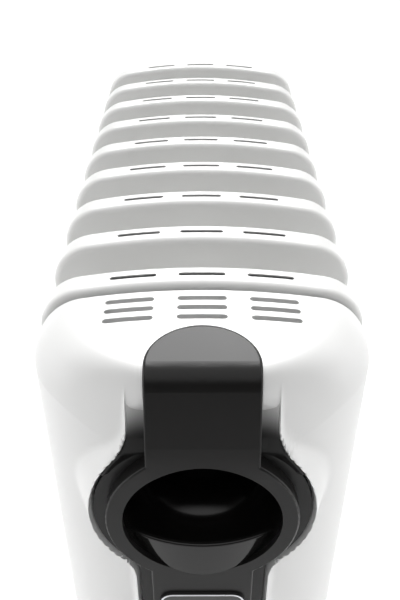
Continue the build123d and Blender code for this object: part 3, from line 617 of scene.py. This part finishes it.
def thicken_cover(cover):
    """Gives the sheet its wall, thinner beside the panel."""
    wall_share = cover.vertex_groups.new(name="wall")
    for vertex in cover.data.vertices:
        x, y, z = (value / MM for value in vertex.co)
        beside_panel = FRONT_FIN_MM - y > THIN_AHEAD and z < TOP_MM - THIN_BELOW_TOP
        share = smoothstep(*THIN_AWAY, from_keyhole(x, z)) if beside_panel else 1.0
        wall_share.add([vertex.index], THIN_SHARE + (1 - THIN_SHARE) * share, "REPLACE")
    thick = cover.modifiers.new("wall", "SOLIDIFY")
    thick.thickness = WALL * MM
    thick.offset = -1
    thick.vertex_group = "wall"
    apply_modifiers(cover)


def slot_cutters():
    """The three columns of three slots in the cap."""
    cutters = []
    for row in SLOT_ROWS:
        for column in (-1, 0, 1):
            outline = stadium(column * SLOT_PITCH, row, SLOT_LENGTH, SLOT_WIDTH)
            cutters.append(prism("slot", outline, TOP_MM - SLOT_DEPTH, TOP_MM + SLOT_ABOVE, "Z"))
    return cutters


def gland_cutter():
    """The round hole in the floor for the inlet bush."""
    low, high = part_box("cable_gland")
    distance = (FRONT_FIN_Y - (low.y + high.y) / 2) / MM
    outline = circle(0, distance, GLAND_HOLE_RADIUS)
    low_z, high_z = (COVER_LOW + offset for offset in FLOOR_CUT)
    return prism("gland_hole", outline, low_z, high_z, "Z")


def bed_cutter():
    """The bed that the strap lies in: a round end on the cap, open to the front."""
    grown = STRAP_HALF + BED_CLEARANCE
    turns = [math.pi * n / BED_STEPS for n in range(BED_STEPS + 1)]
    outline = [(grown * math.cos(turn), BED_TIP - grown * math.sin(turn)) for turn in turns]
    outline += [(-grown, BED_FRONT), (grown, BED_FRONT)]
    return prism("strap_bed", outline, TOP_MM - BED_DEPTH, TOP_MM + BED_ABOVE, "Z")


def build_cover():
    """The white housing as a finer mesh of the CAD's shape."""
    cover = cover_sheet()
    thicken_cover(cover)
    cut(cover, slot_cutters() + [gland_cutter(), bed_cutter()])
    cover.data.set_sharp_from_angle(angle=math.radians(SHARP_ANGLE))
    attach(cover, "heater")
    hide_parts("front_cover")


# ---------------------------------------------------------------- panel details, in millimetres
FLARE_LOW_Z = 590.0
FLARE_HEIGHT = 34.0
FLARE_ROWS = 32
FLARE_COLUMNS = 12
FLARE_AWAY = 7.3
FLARE_FRONT = 79.2
FLARE_RISE = 2.0
FLARE_OVERLAP = 1.5
FLARE_WALL = 1.2
SEARCH_STEP = 0.05

PANEL_FRONT = 87.0
SUNK = 0.02
MARK_DEPTH = 0.15
MARK_COUNT = 7
MARK_TURN = 45
MARK_RADII = (25.6, 29.4)
MARK_HALF = 0.35
MARK_GROWTH = 0.16
POINTER_MIDDLE = 10.5
POINTER_LENGTH = 9.0
POINTER_WIDTH = 1.5

PLATE_Z = 506.5
PLATE_RIM_OUTER = (40.7, 12.1)
PLATE_RIM_INNER = (38.8, 10.2)
PLATE_RIM_DEPTH = 0.1


def front_of(node_name):
    """How far a node's front stands ahead of the front fin's middle plane."""
    return FRONT_FIN_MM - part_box(node_name)[0].y / MM


def flare_row(side, z):
    """Points across one flare at a height, from under the strap out to the groove."""
    outer = STRAP_HALF
    while from_keyhole(outer, z) < FLARE_AWAY:
        outer += SEARCH_STEP
    inner = STRAP_HALF - FLARE_OVERLAP
    row = []
    for n in range(FLARE_COLUMNS + 1):
        x = inner + (outer - inner) * n / FLARE_COLUMNS
        share = max(0.0, from_keyhole(x, z)) / FLARE_AWAY
        row.append(place(side * x, FLARE_FRONT + FLARE_RISE * share**2 - slope_back(z), z))
    return row


def build_flares():
    """The panel's flared foot on both sides of the strap, where it dies away up the slope."""
    heights = [FLARE_LOW_Z + FLARE_HEIGHT * n / FLARE_ROWS for n in range(FLARE_ROWS + 1)]
    for side, name in ((-1, "panel_flare_left"), (1, "panel_flare_right")):
        points, faces = [], []
        sheet([flare_row(side, z) for z in heights], points, faces, flip=side > 0)
        # the flare's material paints the groove's shade: dark, paling upwards
        flare = mesh_object(name, points, faces, FLARE_PAINTED_SHADE)
        merge_close(flare, FLARE_JOIN)
        thick = flare.modifiers.new("wall", "SOLIDIFY")
        thick.thickness = FLARE_WALL * MM
        thick.offset = -1
        apply_modifiers(flare)
        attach(flare, "heater")


def build_marks():
    """Printed marks that grow clockwise round the knob."""
    points, faces = [], []
    near, far = MARK_RADII
    for step in range(MARK_COUNT):
        turn = math.radians(MARK_TURN * step)
        sine, cosine = math.sin(turn), math.cos(turn)
        half = MARK_HALF + MARK_GROWTH * step
        start = len(points)
        for distance in (PANEL_FRONT - SUNK, PANEL_FRONT + MARK_DEPTH):
            for radius, aside in ((near, -half), (near, half), (far, half), (far, -half)):
                x = sine * radius + cosine * aside
                z = DIAL_Z + cosine * radius - sine * aside
                points.append(place(x, distance, z))
        box = [(3, 2, 1, 0), (4, 5, 6, 7)]
        box += [(n, (n + 1) % 4, 4 + (n + 1) % 4, 4 + n) for n in range(4)]
        faces += [tuple(start + corner for corner in face) for face in box]
    marks = mesh_object("dial_marks", points, faces, MARKING, smooth=False)
    merge_close(marks, TOUCHING)
    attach(marks, "heater")


def build_pointer():
    """A printed pointer on the knob's finger bar."""
    front = front_of("thermostat_knob")
    upright = stadium(POINTER_MIDDLE, 0, POINTER_LENGTH, POINTER_WIDTH)
    outline = [(x, DIAL_Z + z) for z, x in upright]
    pointer = prism("dial_pointer", outline, front - SUNK, front + MARK_DEPTH, "Y", MARKING)
    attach(pointer, "thermostat_control")


def build_badge_rim_highlight():
    """A bright zinc line on the badge's raised rim: a painted highlight along the rim."""
    outer = stadium(0, PLATE_Z, *PLATE_RIM_OUTER, 16)
    inner = stadium(0, PLATE_Z, *PLATE_RIM_INNER, 16)
    front = front_of("name_plate")
    count = len(outer)
    points = []
    for distance in (front - SUNK, front + PLATE_RIM_DEPTH):
        for outline in (outer, inner):
            points += [place(x, distance, z) for x, z in outline]
    back_out, back_in, front_out, front_in = (ring * count for ring in range(4))
    sides = ((front_out, front_in), (back_in, back_out), (back_out, front_out), (front_in, back_in))
    faces = []
    for n in range(count):
        m = (n + 1) % count
        faces += [(first + n, first + m, second + m, second + n) for first, second in sides]
    # the bright zinc paints the rim's highlight: painted highlight
    rim = mesh_object("badge_rim_painted_highlight", points, faces, MATERIALS["zinc_steel"], smooth=False)
    merge_close(rim, TOUCHING)
    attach(rim, "heater")


build_cover()
build_flares()
build_marks()
build_pointer()
build_badge_rim_highlight()

# ---------------------------------------------------------------- studio
FLOOR_SIZE = 40.0
FLOOR_COLOUR = (0.80, 0.80, 0.80)
FILL = 0.38
FRONT_SHADE = 0.98
BACK_GLOW = 13.0
TOP_GLOW = 1.06
LAMP_SIZE = (1.4, 1.6)
LAMP_POWER = 12
LAMP_PLACE = (1.9, 0.1, 0.9)
LAMP_TARGET = (0, 0, 0.4)


def build_floor():
    """A wide pale floor that belongs to the studio."""
    edge = FLOOR_SIZE / 2
    corners = [(-edge, -edge, 0), (edge, -edge, 0), (edge, edge, 0), (-edge, edge, 0)]
    material, _, _ = principled("floor", FLOOR_COLOUR, 0.9)
    floor = mesh_object("floor", corners, [(0, 1, 2, 3)], material, smooth=False)


class Sky:
    """The world's light as a sum of smooth patches, by the direction it comes from."""

    def __init__(self):
        world = bpy.data.worlds.new("studio")
        scene.world = world
        world.use_nodes = True
        self.tree = world.node_tree
        self.direction = self.tree.nodes.new("ShaderNodeSeparateXYZ")
        spot = self.tree.nodes.new("ShaderNodeTexCoord")
        self.tree.links.new(spot.outputs["Generated"], self.direction.inputs[0])

    def between(self, axis, start, end, low, high):
        """Eases from low to high as the direction's part along the axis goes from start to end."""
        node = self.tree.nodes.new("ShaderNodeMapRange")
        node.interpolation_type = "SMOOTHSTEP"
        for name, value in (("From Min", start), ("From Max", end), ("To Min", low), ("To Max", high)):
            node.inputs[name].default_value = value
        self.tree.links.new(self.direction.outputs[axis], node.inputs["Value"])
        return node.outputs["Result"]

    def combine(self, operation, first, second):
        """The named operation on two numbers or sockets."""
        node = self.tree.nodes.new("ShaderNodeMath")
        node.operation = operation
        for socket, value in zip(node.inputs, (first, second)):
            if isinstance(value, float):
                socket.default_value = value
            else:
                self.tree.links.new(value, socket)
        return node.outputs[0]

    def product(self, first, *others):
        """All the shares multiplied together."""
        for other in others:
            first = self.combine("MULTIPLY", first, other)
        return first

    def rest_of(self, share):
        """What a share leaves of 1."""
        return self.combine("SUBTRACT", 1.0, share)


def build_sky():
    """An even fill, darker low in front, with a bright patch behind and a broad one above."""
    sky = Sky()
    shade = sky.product(
        sky.between("Y", -0.80, -0.10, FRONT_SHADE, 0.0),
        sky.between("Z", 0.45, 0.8, 1.0, 0.0),
    )
    fill = sky.combine("MULTIPLY", sky.rest_of(shade), FILL)
    glow = sky.product(
        sky.between("Y", 0.30, 0.50, 0.0, BACK_GLOW),
        sky.between("Z", 0.46, 0.58, 0.0, 1.0),
        sky.between("Z", 0.74, 0.84, 1.0, 0.0),
        sky.between("X", -0.45, -0.15, 0.0, 1.0),
        sky.between("X", 0.15, 0.45, 1.0, 0.0),
    )
    top = sky.between("Z", 0.55, 0.85, 0.0, TOP_GLOW)
    light = sky.combine("ADD", fill, sky.combine("ADD", glow, top))
    # the camera itself sees plain white
    seen = sky.tree.nodes.new("ShaderNodeLightPath").outputs["Is Camera Ray"]
    plain = sky.combine("MAXIMUM", sky.product(light, sky.rest_of(seen)), seen)
    sky.tree.links.new(plain, sky.tree.nodes["Background"].inputs["Color"])


def area_light(name, spot):
    """A soft lamp that faces the heater and stays out of the picture."""
    lamp = bpy.data.objects.new(name, bpy.data.lights.new(name, "AREA"))
    scene.collection.objects.link(lamp)
    lamp.data.shape = "RECTANGLE"
    lamp.data.size, lamp.data.size_y = LAMP_SIZE
    lamp.data.energy = LAMP_POWER
    lamp.location = spot
    lamp.rotation_euler = (Vector(LAMP_TARGET) - Vector(spot)).to_track_quat("-Z", "Y").to_euler()
    lamp.visible_camera = False


build_floor()
build_sky()
area_light("side_left", (-LAMP_PLACE[0], *LAMP_PLACE[1:]))
area_light("side_right", LAMP_PLACE)
